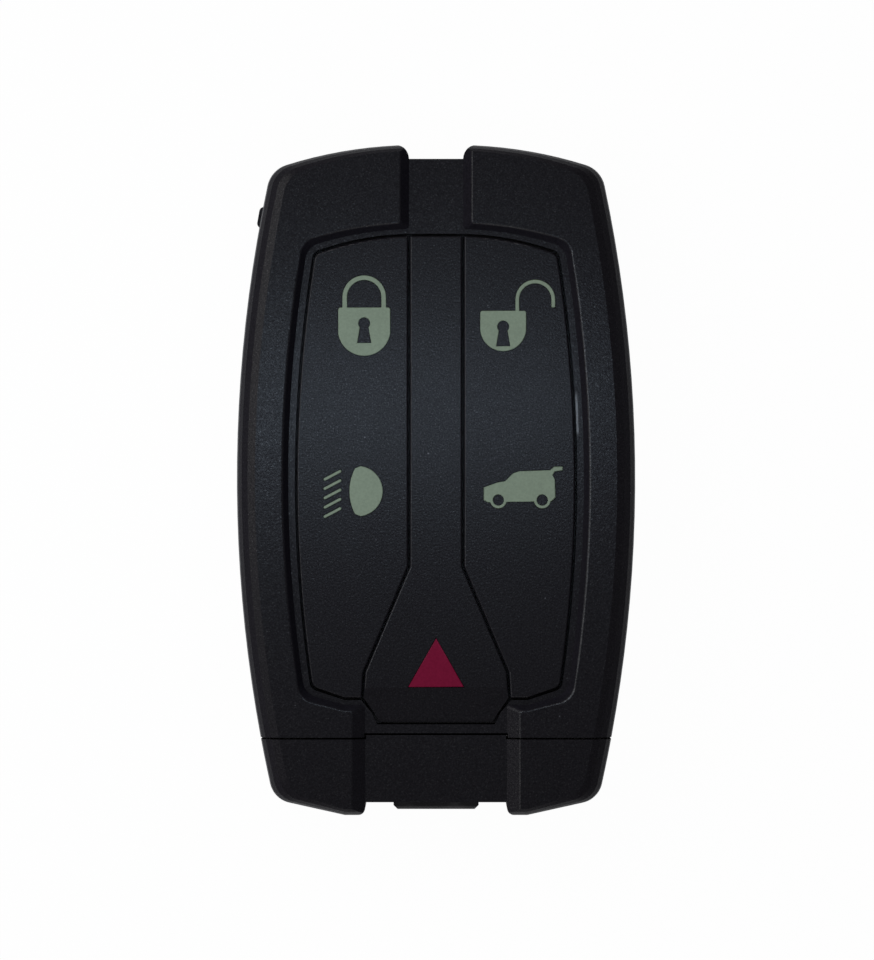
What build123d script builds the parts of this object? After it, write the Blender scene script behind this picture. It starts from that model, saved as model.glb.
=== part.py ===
from build123d import *
import os
from math import cos, radians, sin

# A car key fob whose end cap carries the emergency key blade.
# The fob lies on its back: X across, Y along with the top of the key face at +Y, Z up through
# the key face. The origin is the middle of the rear face. Sizes are in millimetres.

os.makedirs("parts", exist_ok=True)

# Whole fob
fob_length = 72.0
fob_width = 42.8
fob_thickness = 14.6
top_pinch = 3.65            # each side is this much further in at the top corner than in the middle
bottom_pinch = 3.95
top_corner_drop = 2.7       # the top edge falls this far from its flat to the corner
bottom_corner_rise = 1.7
top_corner_radius = 3.0
bottom_corner_radius = 2.7
top_flat_width = 5.8        # straight middle stretch of the top edge
bottom_flat_width = 19.6
bow_share = 0.27            # share of the corner drop that is reached half way along the top edge

# Rounded band round the raised face
side_band = 2.0             # width of the band at the sides, seen from the front
end_band = 0.75             # the same at the two ends
band_height = 3.0
band_turn = 65.0            # degrees the band turns before it meets the flat face with a crease
band_steps = 4
rear_edge_radius = 1.5

# Sunk channel and the ring ledge round the keys
channel_depth = 1.0
top_channel_width = 5.8     # at the channel floor
top_channel_flare = 0.95    # how much wider each side is at the raised face
bottom_channel_width = 15.2
bottom_channel_flare = 1.4
top_notch_depth = 1.57      # how far the channel ends short of the fob's top
bottom_notch_depth = 1.45
top_notch_radius = 1.6
bottom_notch_radius = 0.9
frame_side_width = 4.95     # raised frame, from the outline to its inner edge, at the sides
frame_top_width = 8.5
frame_bottom_width = 11.3
recess_flare = 0.6          # how far the frame's sloping inner wall reaches in, down to the ledge
recess_top_drop = 1.95
recess_bottom_rise = 1.2
recess_radius = 2.0
ring_side_width = 0.7
ring_end_width = 0.5
inner_corner_radius = 0.5   # upright corners between the channels and the ledge
inner_edge_radius = 0.3

# Walls, seams and clearances
case_wall = 1.6
rear_wall = 1.4
bulkhead = 0.95             # the case's end wall, inside the end cap's seam
bay_bottom_rise = 0.2
bay_corner_radius = 1.8
aperture_radius = 1.0
seam_gap = 0.2
cap_length = 8.3            # from the bottom of the fob to the cap's seam on the shoulders
seam_step = 0.45            # the seam lies this much higher in the channel
parting_height = 6.4        # between the rear and the front cover
parting_groove_depth = 0.15
parting_groove_width = 0.2
lip_height = 1.2
lip_wall = 0.8
lip_gap = 0.1
fit_gap = 0.1               # all round between parts that lie in one another
overrun = 2.0               # how far cutting shapes run past what they cut
touch = 0.01                # how near a corner must lie to be picked

# Keys
key_thickness = 1.2
key_proud = 0.1             # above the channel floor
key_gap = 0.25
key_edge_radius = 0.18
spine_width = 5.8           # narrow upper stretch of the centre key
bell_width = 15.4           # flared lower stretch of the centre key
bell_length = 11.3
bell_side_length = 3.0
bell_side_spread = 0.2
tail_width = 12.6           # at the bottom edge of the centre key
tail_knee_share = 0.52
tail_knee_width = 13.8
tail_ramp_length = 3.7      # the centre key slopes down over its last stretch
tail_ramp_drop = 0.45

# Pivots of the keys
pivot_radius = 0.5
pivot_gap = 0.05            # radial running clearance
pivot_depth = 1.3           # from the underside of the keys down to the pivot axis
ear_thickness = 0.9
ear_width = 1.4
saddle_thickness = 0.8
saddle_width = 2.4
saddle_cover = 0.35         # saddle wall over the pivot
ear_gap = 0.15              # along the pivot, between an ear and its saddle
rocker_half_span = 4.0      # from the middle of a side key to the outer face of its ears
flap_setback = 1.5          # from the top end of the centre key to its pivot
flap_half_span = 0.8

# Switches under the keys
switch_inset = 0.97         # from the middle line of a side key, inwards
upper_switch_setback = 10.4     # from the top of the opening for the keys
switch_pitch = 17.2         # from the upper to the lower switches
alarm_switch_rise = 3.75    # above the foot of the centre key's sides
post_radius = 1.3
switch_side = 3.6
switch_height = 0.5
plunger_radius = 0.8
plunger_height = 0.25
plunger_travel = 0.2

# Stack between the covers, counted up from the rear face
tray_floor = 0.6
contact_thickness = 0.2
cell_thickness = 3.2
cell_side_room = 3.06       # from the case's wall to the cell's pocket
board_share = 0.4795        # height of the board's underside, of the fob's thickness
board_thickness = 1.0
mat_rim_height = 1.4
mat_sheet = 0.55
mat_rim_width = 0.8
dome_radius = 1.9
dome_top_radius = 1.2
dome_height = 1.2
dome_gap = 0.05             # between a key's post and its dome at rest
carrier_thickness = 1.0
carrier_rim_width = 0.9
window_gap = 0.3

# Key blade, its tray tunnel and its holder in the cap
blade_width_share = 0.2     # of the fob's width
blade_place_share = 0.2336  # how far the blade lies beside the middle, of the fob's width
blade_thickness = 2.2
blade_tip_room = 15.4       # from the blade's tip to the top end of the room in the covers
blade_root = 4.7            # inside the cap
blade_gap = 0.15
blade_tip_chamfer = 2.4
track_width_share = 0.27    # of the blade's width
track_sway_share = 0.15
track_depth = 0.45
track_waves = 4
tunnel_wall = 0.75
tunnel_roof = 0.7
tunnel_end_room = 1.2       # how far the tunnel runs past the blade's tip
holder_wall = 0.6
holder_length = 5.0
holder_height = 5.4
pin_radius = 0.8
pin_setback = 2.7
spring_length = 10.0
spring_thickness = 0.25
spring_setback = 15.6       # from the case's end to the middle of the spring
nose_length = 1.6
nose_bite = 0.2             # how far the nose stands into the blade's dimple
nose_gap = 0.06

# Keyring tunnel and bar in the cap
ring_web = 0.6              # wall between the blade's holder and the keyring tunnel
end_mouth_height = 4.5      # opening above the bar, in the end face
rear_mouth_length = 4.65    # opening behind the bar, in the rear face
bar_end_seat = 0.2          # how far each end of the bar sits in the tunnel's wall
bar_depth = 2.4
bar_height = 3.2
bar_proud = 1.15            # how far the bar shows beyond the channel's end edge
bar_chamfer = 0.45
bar_seat = 0.3              # height of the bar's underside above the rear face
peg_radius = 1.0
peg_length = 0.9
peg_share = 0.28            # place of a peg, of the fob's width
peg_height = 9.6

# Small parts on the board and in the tray
switch_corner_radius = 0.4
switch_floor = 0.15
plunger_edge_radius = 0.1
plunger_names = [
    "lock_plunger", "unlock_plunger", "headlamp_plunger", "tailgate_plunger", "alarm_plunger",
]
controller_shares = (0.22, -0.705)  # places as shares of the room's half width and half length
radio_shares = (0.7, -0.617)
crystal_shares = (-0.19, 0.637)
post_shares = [(-0.88, -0.854), (0.88, -0.854), (-0.838, 0.298), (0.87, 0.468), (0.294, 0.875)]
controller_size = (7.0, 7.0, 0.9)
radio_size = (5.0, 5.0, 0.85)
crystal_size = (3.2, 2.5, 0.7)
chip_bevel = 0.12
passive_size = (1.6, 0.8)
passive_height = 0.45
passive_pitch = 2.2
passive_drop = 1.4          # rows beside the middle of the side keys
passive_rise = 6.0          # row above the upper switches
alarm_passive_rise = 9.4    # rows above the alarm switch
alarm_passive_x = 5.0
antenna_gap = 0.6           # from the upper battery contact
antenna_radius = 4.6
antenna_height = 3.0
antenna_flange = 0.5
antenna_waist_share = 0.5
antenna_winding_setback = 0.5
tray_post_radius = 0.7
cell_gap = 0.2
cell_step = 0.4             # the cell's narrower negative pole
contact_width = 5.0
contact_share = 0.9
side_align = {-1: Align.MIN, 1: Align.MAX}
spring_width = 3.0
nose_width = 1.2
nose_setback = 0.98         # from the edge of the blade to the middle of the nose
holder_base = 0.4           # how far the holder reaches below the tray's floor
bar_edge_radius = 0.4

# Shallow groove round the rear face
rear_groove_inset = 3.6
rear_groove_width = 0.6
rear_groove_depth = 0.25

# Small rib on the left edge of the rear cover
pip_level = 3.0
pip_height = 2.6
pip_setback = 7.6
pip_length = 2.3
pip_proud = 0.5
pip_tilt = 80.0

# Icons: a closed and an open padlock, a headlamp, a car with its tailgate up and a triangle
icon_depth = 0.4
icon_sink = 0.05
icon_gap = 0.05
icon_corner_radius = 0.25
lock_shift = 0.2            # sideways and upwards from the switch under it
lock_rise = 2.5
lock_width = 5.6
lock_straight = 2.8
lock_round = 2.4
lock_shackle_rise = 1.1
lock_shackle_radius = 2.35
lock_shackle_stroke = 0.52
unlock_shift = -0.7
unlock_rise = 2.15
unlock_width = 4.95
unlock_straight = 2.0
unlock_round = 2.35
unlock_swing_share = 0.294  # of the side key's width
unlock_shackle_rise = 1.2
unlock_shackle_radius = 2.14
unlock_shackle_stroke = 0.42
unlock_free_leg = 0.85
keyhole_radius = 0.62
keyhole_drop = 1.7
keyhole_neck_share = 0.6
keyhole_foot_width = 1.5
keyhole_length = 2.1
lamp_shift = -0.2
lamp_height = 5.4
lamp_depth = 2.4
lamp_back_depth = 1.2
lamp_back_height = 4.9
ray_shift = -3.0            # from the lamp
ray_lift = -0.3
ray_pitch = 1.0
ray_count = 5
ray_length = 2.15
ray_stroke = 0.32
ray_tilt = 28.0
car_shift = -2.8
car_drop = 1.2
car_length = 8.5
car_height = 3.85
car_corner_radius = 0.08
car_shares = [
    (0.0, 0.06), (0.0, 0.42), (0.18, 0.56), (0.27, 0.59), (0.37, 0.81), (0.45, 0.87), (0.84, 0.9),
    (0.89, 1.0), (1.0, 1.0), (1.0, 0.89), (0.9, 0.86), (0.87, 0.76), (0.9, 0.64), (0.91, 0.14),
    (0.86, 0.03), (0.05, 0.0),
]
wheel_shares = [0.186, 0.74]
wheel_drop = 0.95
wheel_radius = 0.91
wheel_hole_radius = 0.58
triangle_rise = 2.9
triangle_height = 5.25
triangle_width = 6.0

# Heights and places worked out from the sizes above
channel_level = fob_thickness - channel_depth
board_height = fob_thickness * board_share
key_top = channel_level + key_proud
key_underside = key_top - key_thickness
ceiling = channel_level - case_wall
pivot_level = key_underside - pivot_depth
cell_level = rear_wall + tray_floor + contact_thickness
board_top = board_height + board_thickness
mat_top = board_top + mat_rim_height
dome_top = mat_top + dome_height
carrier_top = mat_top + carrier_thickness
blade_level = rear_wall + tray_floor + blade_gap
seam_y = -fob_length / 2 + cap_length
case_end_y = seam_y + seam_gap / 2
bay_bottom_y = seam_y + seam_step + seam_gap / 2 + bulkhead
top_notch_y = fob_length / 2 - top_notch_depth
bottom_notch_y = -fob_length / 2 + bottom_notch_depth
bay_top_y = top_notch_y - case_wall
recess_top_y = fob_length / 2 - frame_top_width
recess_bottom_y = -fob_length / 2 + frame_bottom_width
ledge_top_y = recess_top_y - recess_flare
ledge_bottom_y = recess_bottom_y + recess_flare
ledge_side = frame_side_width + recess_flare
aperture_top_y = ledge_top_y - ring_end_width
aperture_side = ledge_side + ring_side_width
top_corner_y = fob_length / 2 - top_corner_drop
bottom_corner_y = -fob_length / 2 + bottom_corner_rise
bell_foot_y = ledge_bottom_y + ring_end_width
upper_switch_y = aperture_top_y - upper_switch_setback
lower_switch_y = upper_switch_y - switch_pitch
alarm_switch_y = bell_foot_y + alarm_switch_rise
rocker_y = (upper_switch_y + lower_switch_y) / 2
flap_y = aperture_top_y - key_gap - flap_setback
blade_width = fob_width * blade_width_share
blade_x = -fob_width * blade_place_share
blade_half_room = blade_width / 2 + blade_gap
holder_width = blade_width + 2 * holder_wall
peg_x = fob_width * peg_share
cell_y = (bay_bottom_y + bay_top_y) / 2


def half_width_at(y):
    """Half the fob's width at a place along it: the sides bow outwards between the corners."""
    if y > 0:
        return fob_width / 2 - top_pinch * (y / top_corner_y) ** 2
    return fob_width / 2 - bottom_pinch * (y / bottom_corner_y) ** 2


def barrel(level, inset, top, top_drop, bottom, bottom_rise, top_radius, bottom_radius):
    """Barrel-shaped outline, drawn in from the fob's sides by the inset, with rounded corners."""
    upper = (half_width_at(top - top_drop) - inset, top - top_drop)
    lower = (half_width_at(bottom + bottom_rise) - inset, bottom + bottom_rise)
    flat = top_flat_width / 2
    bow_x = (flat + upper[0]) / 2
    with BuildSketch(Plane.XY.offset(level)) as outline:
        with BuildLine():
            Line((0, top), (flat, top))
            ThreePointArc((flat, top), (bow_x, top - top_drop * bow_share), upper)
            ThreePointArc(upper, (fob_width / 2 - inset, 0), lower)
            Line(lower, (bottom_flat_width / 2, bottom))
            Line((bottom_flat_width / 2, bottom), (0, bottom))
            mirror(about=Plane.YZ)
        make_face()
        for corner_y, radius in ((upper[1], top_radius), (lower[1], bottom_radius)):
            corners = outline.vertices().filter_by_position(Axis.Y, corner_y - touch, corner_y + touch)
            fillet(corners, radius)
    return outline.sketch


def fob_outline(level, side_inset, end_inset):
    """The fob's own outline at a height, drawn in apart at the sides and at the ends."""
    return barrel(
        level, side_inset,
        fob_length / 2 - end_inset, top_corner_drop,
        -fob_length / 2 + end_inset, bottom_corner_rise,
        top_corner_radius, bottom_corner_radius,
    )


def bay_outline(level, inset):
    """Outline of the room inside the covers, drawn in by the inset all round."""
    return barrel(
        level, case_wall + inset,
        bay_top_y - inset, top_corner_drop,
        bay_bottom_y + inset, bay_bottom_rise,
        bay_corner_radius, bay_corner_radius,
    )


def mirrored_sketch(level, *points):
    """A closed outline from its right half, given from the centre line round to it again."""
    with BuildSketch(Plane.XY.offset(level)) as outline:
        with BuildLine():
            Polyline(*points)
            mirror(about=Plane.YZ)
        make_face()
    return outline.sketch


def seam_zone(shift, towards, level):
    """All that lies below or above the end cap's seam, from a height upwards.

    The seam steps up in the channel. The shift moves it up, and towards is -1 for what is below it
    and 1 for what is above.
    """
    shoulder = seam_y + shift
    channel = shoulder + seam_step
    step = bottom_channel_width / 2 + shift
    side = fob_width / 2 + overrun
    far = towards * (fob_length / 2 + overrun)
    zone = mirrored_sketch(
        level,
        (0, channel), (step, channel), (step, shoulder), (side, shoulder), (side, far), (0, far),
    )
    return extrude(zone, amount=fob_thickness)


def plain_seam_zone(shift, towards, height):
    """The same for the rear cover, where the seam runs straight across, from below to a height."""
    shoulder = seam_y + shift
    side = fob_width / 2 + overrun
    far = towards * (fob_length / 2 + overrun)
    zone = mirrored_sketch(-overrun, (0, shoulder), (side, shoulder), (side, far), (0, far))
    return extrude(zone, amount=overrun + height)


def end_notch(end, floor, half_width, radius, side):
    """Cut for the end of a channel through the whole thickness, with rounded outer corners."""
    turn = radius * sin(radians(45))
    far = end + side * overrun
    with BuildSketch(Plane.XY.offset(-overrun)) as outline:
        with BuildLine():
            Line((0, floor), (half_width, floor))
            Line((half_width, floor), (half_width, end - side * radius))
            ThreePointArc(
                (half_width, end - side * radius),
                (half_width + radius - turn, end - side * (radius - turn)),
                (half_width + radius, end),
            )
            Line((half_width + radius, end), (half_width + radius, far))
            Line((half_width + radius, far), (0, far))
            mirror(about=Plane.YZ)
        make_face()
    return extrude(outline.sketch, amount=fob_thickness + 2 * overrun)


def channel_cut(start, length, floor_width, flare):
    """Cut for a channel with sloping walls, running from a place along the fob towards -Y."""
    top = fob_thickness + overrun
    half = floor_width / 2
    with BuildSketch(Plane.XZ.offset(-start)) as section:
        with BuildLine():
            Polyline(
                (0, channel_level), (half, channel_level), (half + flare, fob_thickness),
                (half + flare, top), (0, top),
            )
            mirror(about=Plane.YZ)
        make_face()
    return extrude(section.sketch, amount=length)


def is_inner_edge(edge):
    """Whether an edge of the raised face lies inside the band, towards the channel or the keys."""
    middle = edge.center()
    from_side = half_width_at(middle.Y) - abs(middle.X)
    from_end = fob_length / 2 - abs(middle.Y)
    return from_side > 2 * side_band and from_end > 2 * top_notch_depth


def is_inner_corner(edge):
    """Whether an edge climbs from the ledge to the raised face where a channel meets the ledge."""
    low, high = sorted((edge @ 0, edge @ 1), key=lambda point: point.Z)
    if abs(low.Z - channel_level) > touch or abs(high.Z - fob_thickness) > touch:
        return False
    return ledge_bottom_y - overrun < low.Y < ledge_top_y + overrun and is_inner_edge(edge)


def finish(piece, name):
    """Labels a finished piece and writes it to its own file."""
    piece.part.label = name
    export_step(piece.part, f"parts/{name}.step")


def place_in_room(shares):
    """A place in the room inside the covers, from its shares of the half width and half length."""
    y = cell_y + shares[1] * (bay_top_y - bay_bottom_y) / 2
    return (shares[0] * (half_width_at(y) - case_wall), y)


# Places that depend on the bow of the sides
side_key_inner_x = (spine_width + key_gap) / 2
side_key_outer_x = half_width_at(rocker_y) - aperture_side - key_gap
side_key_x = (side_key_inner_x + side_key_outer_x) / 2
switch_x = side_key_x - switch_inset
switch_places = [
    (-switch_x, upper_switch_y),
    (switch_x, upper_switch_y),
    (-switch_x, lower_switch_y),
    (switch_x, lower_switch_y),
    (0, alarm_switch_y),
]
tunnel_inner_x = blade_x + blade_half_room + tunnel_wall
pocket_left_x = tunnel_inner_x - tunnel_wall / 2
pocket_right_x = half_width_at(cell_y) - case_wall - cell_side_room
cell_x = (pocket_left_x + pocket_right_x) / 2
cell_radius = (pocket_right_x - pocket_left_x) / 2 - tunnel_wall - cell_gap
contact_reach = cell_radius + cell_gap + tunnel_wall + fit_gap
antenna_place = (cell_x, cell_y + contact_reach + antenna_gap + antenna_radius)
post_places = [place_in_room(shares) for shares in post_shares]
passive_places = []
for step in range(3):
    passive_places.append(((step - 1) * passive_pitch, upper_switch_y + passive_rise))
    for side in (-1, 1):
        row_x = side * (switch_x + step * passive_pitch)
        passive_places.append((row_x, rocker_y - passive_drop))
for step in range(2):
    for side in (-1, 1):
        row_x = side * (alarm_passive_x + step * passive_pitch)
        passive_places.append((row_x, alarm_switch_y + alarm_passive_rise))


# Outer form of the whole fob, which the covers and the end cap are cut from
band_sections = []
for step in range(band_steps + 1):
    turn = radians(band_turn) * step / band_steps
    rise_share = sin(turn) / sin(radians(band_turn))
    draw_share = (1 - cos(turn)) / (1 - cos(radians(band_turn)))
    level = fob_thickness - band_height * (1 - rise_share)
    band_sections.append(fob_outline(level, side_band * draw_share, end_band * draw_share).face())

recess_sections = []
for height in (0, channel_depth + overrun):
    slope = recess_flare * height / channel_depth
    recess_sections.append(
        barrel(
            channel_level + height, ledge_side - slope, ledge_top_y + slope, recess_top_drop,
            ledge_bottom_y - slope, recess_bottom_rise, recess_radius, recess_radius,
        ).face()
    )

with BuildPart() as fob_form:
    extrude(fob_outline(0, 0, 0).face(), amount=fob_thickness - band_height)
    fillet(fob_form.edges().group_by(Axis.Z)[0], rear_edge_radius)
    loft(sections=band_sections, ruled=True)
    loft(sections=recess_sections, ruled=True, mode=Mode.SUBTRACT)
    add(
        channel_cut(
            fob_length / 2 + overrun, fob_length / 2 + overrun - aperture_top_y,
            top_channel_width, top_channel_flare,
        ),
        mode=Mode.SUBTRACT,
    )
    add(
        channel_cut(
            bell_foot_y, bell_foot_y + fob_length / 2 + overrun,
            bottom_channel_width, bottom_channel_flare,
        ),
        mode=Mode.SUBTRACT,
    )
    add(
        end_notch(fob_length / 2, top_notch_y, top_channel_width / 2, top_notch_radius, 1),
        mode=Mode.SUBTRACT,
    )
    add(
        end_notch(-fob_length / 2, bottom_notch_y, bottom_channel_width / 2, bottom_notch_radius, -1),
        mode=Mode.SUBTRACT,
    )
    fillet(fob_form.edges().filter_by(is_inner_corner), inner_corner_radius)
    fillet(fob_form.edges().group_by(Axis.Z)[-1].filter_by(is_inner_edge), inner_edge_radius)

# Opening for the keys, and how the three keys share it
bell_side_y = bell_foot_y + bell_side_length
bell_neck_y = bell_side_y + bell_length
bell_foot_x = bell_width / 2 + bell_side_spread
tail_knee_y = bell_foot_y + (bay_bottom_y - bell_foot_y) * tail_knee_share
half_gap = key_gap / 2

with BuildSketch() as aperture:
    add(
        barrel(
            0, aperture_side, aperture_top_y, recess_top_drop,
            bell_foot_y, recess_bottom_rise, aperture_radius, aperture_radius,
        )
    )
    add(
        mirrored_sketch(
            0, (0, bell_side_y), (bell_foot_x + half_gap, bell_side_y),
            (bell_foot_x + half_gap, bell_foot_y), (tail_knee_width / 2, tail_knee_y),
            (tail_width / 2, bay_bottom_y), (0, bay_bottom_y),
        )
    )

centre_outline = mirrored_sketch(
    0, (0, aperture_top_y - key_gap), (spine_width / 2 - half_gap, aperture_top_y - key_gap),
    (spine_width / 2 - half_gap, bell_neck_y), (bell_width / 2 - half_gap, bell_side_y),
    (bell_foot_x - half_gap, bell_foot_y + key_gap), (tail_knee_width / 2 - key_gap, tail_knee_y),
    (tail_width / 2 - key_gap, bay_bottom_y + key_gap), (0, bay_bottom_y + key_gap),
)

with BuildSketch() as side_outlines:
    add(
        barrel(
            0, aperture_side + key_gap, aperture_top_y - key_gap, recess_top_drop,
            bell_foot_y + key_gap, recess_bottom_rise, aperture_radius, aperture_radius,
        )
    )
    add(
        mirrored_sketch(
            0, (0, aperture_top_y), (spine_width / 2 + half_gap, aperture_top_y),
            (spine_width / 2 + half_gap, bell_neck_y), (bell_width / 2 + half_gap, bell_side_y),
            (bell_foot_x + half_gap, bell_foot_y), (0, bell_foot_y),
        ),
        mode=Mode.SUBTRACT,
    )

# Shallow groove where the two covers meet
with BuildSketch(Plane.XY.offset(parting_height - parting_groove_width / 2)) as groove_outline:
    Rectangle(fob_width + overrun, fob_length + overrun)
    add(fob_outline(0, parting_groove_depth, parting_groove_depth), mode=Mode.SUBTRACT)
parting_groove = extrude(groove_outline.sketch, amount=parting_groove_width)

# Front cover
with BuildPart() as front_cover:
    add(fob_form.part)
    split(bisect_by=Plane.XY.offset(parting_height), keep=Keep.TOP)
    add(parting_groove, mode=Mode.SUBTRACT)
    add(seam_zone(seam_gap / 2, -1, 0), mode=Mode.SUBTRACT)
    extrude(bay_outline(parting_height, 0).face(), amount=ceiling - parting_height, mode=Mode.SUBTRACT)
    with BuildSketch(Plane.XY.offset(ceiling)):
        add(aperture.sketch)
    extrude(amount=channel_depth + case_wall + overrun, mode=Mode.SUBTRACT)
    with BuildSketch(Plane.XZ.offset(-bay_bottom_y - overrun)):
        with Locations((-peg_x, peg_height), (peg_x, peg_height)):
            Circle(peg_radius + fit_gap)
    extrude(amount=bulkhead + seam_step + 2 * overrun, mode=Mode.SUBTRACT)
finish(front_cover, "front_cover")

# Rear cover, with a lip inside the front cover and the slot for the key blade
with BuildPart() as rear_cover:
    add(fob_form.part)
    split(bisect_by=Plane.XY.offset(parting_height), keep=Keep.BOTTOM)
    add(parting_groove, mode=Mode.SUBTRACT)
    add(plain_seam_zone(seam_gap / 2, -1, fob_thickness), mode=Mode.SUBTRACT)
    extrude(bay_outline(rear_wall, 0).face(), amount=parting_height, mode=Mode.SUBTRACT)
    extrude(bay_outline(parting_height - lip_height, 0).face(), amount=lip_height)
    extrude(bay_outline(parting_height, lip_gap).face(), amount=lip_height)
    extrude(
        bay_outline(parting_height - lip_height - overrun, lip_gap + lip_wall).face(),
        amount=2 * (lip_height + overrun), mode=Mode.SUBTRACT,
    )
    with BuildSketch(Plane.XZ.offset(-bay_bottom_y - overrun)):
        with Locations((blade_x, blade_level + blade_thickness / 2)):
            Rectangle(2 * blade_half_room, blade_thickness + 2 * blade_gap)
    extrude(amount=bulkhead + seam_step + 2 * overrun, mode=Mode.SUBTRACT)
    with BuildSketch():
        add(bay_outline(0, rear_groove_inset))
        add(bay_outline(0, rear_groove_inset + rear_groove_width), mode=Mode.SUBTRACT)
    extrude(amount=rear_groove_depth, mode=Mode.SUBTRACT)
    pip_y = fob_length / 2 - pip_setback
    with BuildSketch(Plane.XY.offset(pip_level)):
        with Locations((-half_width_at(pip_y), pip_y)):
            SlotOverall(pip_length, 2 * pip_proud, rotation=pip_tilt)
    extrude(amount=pip_height)
finish(rear_cover, "rear_cover")

# Tray in the rear cover: blade tunnel, pocket for the cell and posts for the board
tray_level = rear_wall + tray_floor
tunnel_top = blade_level + blade_thickness + blade_gap
tunnel_y = bay_bottom_y + bay_bottom_rise + fit_gap
blade_tip_y = bay_top_y - blade_tip_room
tunnel_length = blade_tip_y + tunnel_end_room - tunnel_y
nose_x = blade_x + blade_width / 2 - nose_setback
spring_y = case_end_y + spring_setback

with BuildPart() as inner_tray:
    extrude(bay_outline(rear_wall, fit_gap).face(), amount=tray_floor)
    with BuildSketch(Plane.XY.offset(tray_level)):
        with Locations((blade_x, tunnel_y)):
            Rectangle(
                2 * (blade_half_room + tunnel_wall), tunnel_length, align=(Align.CENTER, Align.MIN)
            )
    extrude(amount=tunnel_top + tunnel_roof - tray_level)
    with BuildSketch(Plane.XY.offset(tray_level)):
        with Locations((blade_x, tunnel_y - overrun)):
            Rectangle(
                2 * blade_half_room, tunnel_length + 2 * overrun, align=(Align.CENTER, Align.MIN)
            )
    extrude(amount=tunnel_top - tray_level, mode=Mode.SUBTRACT)
    with BuildSketch(Plane.XY.offset(tray_level)):
        with Locations((cell_x, cell_y)):
            Circle(cell_radius + cell_gap + tunnel_wall)
            Circle(cell_radius + cell_gap, mode=Mode.SUBTRACT)
            Rectangle(contact_width + 2 * fit_gap, 4 * cell_radius, mode=Mode.SUBTRACT)
    extrude(amount=cell_thickness)
    with BuildSketch(Plane.XY.offset(tray_level)):
        with Locations(*post_places):
            Circle(tray_post_radius)
    extrude(amount=board_height - tray_level)
    with BuildSketch(Plane.XY.offset(tunnel_top - overrun / 4)):
        with Locations((nose_x, spring_y)):
            Rectangle(nose_width + 2 * nose_gap, nose_length + 2 * nose_gap)
    extrude(amount=tunnel_roof + overrun / 2, mode=Mode.SUBTRACT)
finish(inner_tray, "inner_tray")

# Leaf spring on the tunnel's roof, with its nose in a dimple of the blade
with BuildPart() as blade_spring:
    with BuildSketch(Plane.XY.offset(tunnel_top + tunnel_roof)):
        with Locations((nose_x, spring_y)):
            Rectangle(spring_width, spring_length)
    extrude(amount=spring_thickness)
    with BuildSketch(Plane.XY.offset(blade_level + blade_thickness - nose_bite)):
        with Locations((nose_x, spring_y)):
            Rectangle(nose_width, nose_length)
    extrude(until=Until.LAST)
finish(blade_spring, "blade_spring")

# Coin cell between its two contacts
with BuildPart() as coin_cell:
    with BuildSketch(Plane.XY.offset(cell_level)):
        with Locations((cell_x, cell_y)):
            Circle(cell_radius - cell_step)
    extrude(amount=cell_thickness)
    with BuildSketch(Plane.XY.offset(cell_level + cell_step)):
        with Locations((cell_x, cell_y)):
            Circle(cell_radius)
    extrude(amount=cell_thickness - cell_step)
    fillet(coin_cell.edges().group_by(Axis.Z)[-1], cell_step / 2)
finish(coin_cell, "coin_cell")

for name, low, side in (
    ("negative_contact", tray_level, -1),
    ("positive_contact", cell_level + cell_thickness, 1),
):
    with BuildPart() as contact:
        with BuildSketch(Plane.XY.offset(low)):
            with Locations((cell_x, cell_y + side * contact_reach)):
                Rectangle(
                    contact_width, contact_reach * contact_share, align=(Align.CENTER, side_align[side])
                )
        extrude(amount=contact_thickness)
        with BuildSketch(Plane.XY.offset(low)):
            with Locations((cell_x, cell_y + side * contact_reach)):
                Rectangle(contact_width, contact_thickness, align=(Align.CENTER, side_align[side]))
        extrude(amount=board_height - low)
    finish(contact, name)

# Circuit board, its switches and the parts on both faces
board_inset = lip_gap + lip_wall + fit_gap

with BuildPart() as circuit_board:
    extrude(bay_outline(board_height, board_inset).face(), amount=board_thickness)
finish(circuit_board, "circuit_board")

with BuildPart() as switch_bodies:
    with BuildSketch(Plane.XY.offset(board_top)):
        with Locations(*switch_places):
            RectangleRounded(switch_side, switch_side, switch_corner_radius)
    extrude(amount=switch_height)
    with BuildSketch(Plane.XY.offset(board_top + switch_floor)):
        with Locations(*switch_places):
            Circle(plunger_radius + pivot_gap)
    extrude(amount=switch_height, mode=Mode.SUBTRACT)
finish(switch_bodies, "switch_bodies")

for name, place in zip(plunger_names, switch_places):
    with BuildPart() as plunger:
        with BuildSketch(Plane.XY.offset(board_top + switch_floor + plunger_travel)):
            with Locations(place):
                Circle(plunger_radius)
        extrude(amount=switch_height + plunger_height - switch_floor - plunger_travel)
        fillet(plunger.edges().group_by(Axis.Z)[-1], plunger_edge_radius)
    finish(plunger, name)

for name, shares, (width, length, height) in (
    ("controller_chip", controller_shares, controller_size),
    ("radio_chip", radio_shares, radio_size),
    ("crystal", crystal_shares, crystal_size),
):
    with BuildPart() as chip:
        with BuildSketch(Plane.XY.offset(board_height - height)):
            with Locations(place_in_room(shares)):
                Rectangle(width, length)
        extrude(amount=height)
        chamfer(chip.edges().group_by(Axis.Z)[0], chip_bevel)
    finish(chip, name)

with BuildPart() as passives:
    with BuildSketch(Plane.XY.offset(board_top)):
        with Locations(*passive_places):
            Rectangle(*passive_size)
    extrude(amount=passive_height)
finish(passives, "passives")

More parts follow.
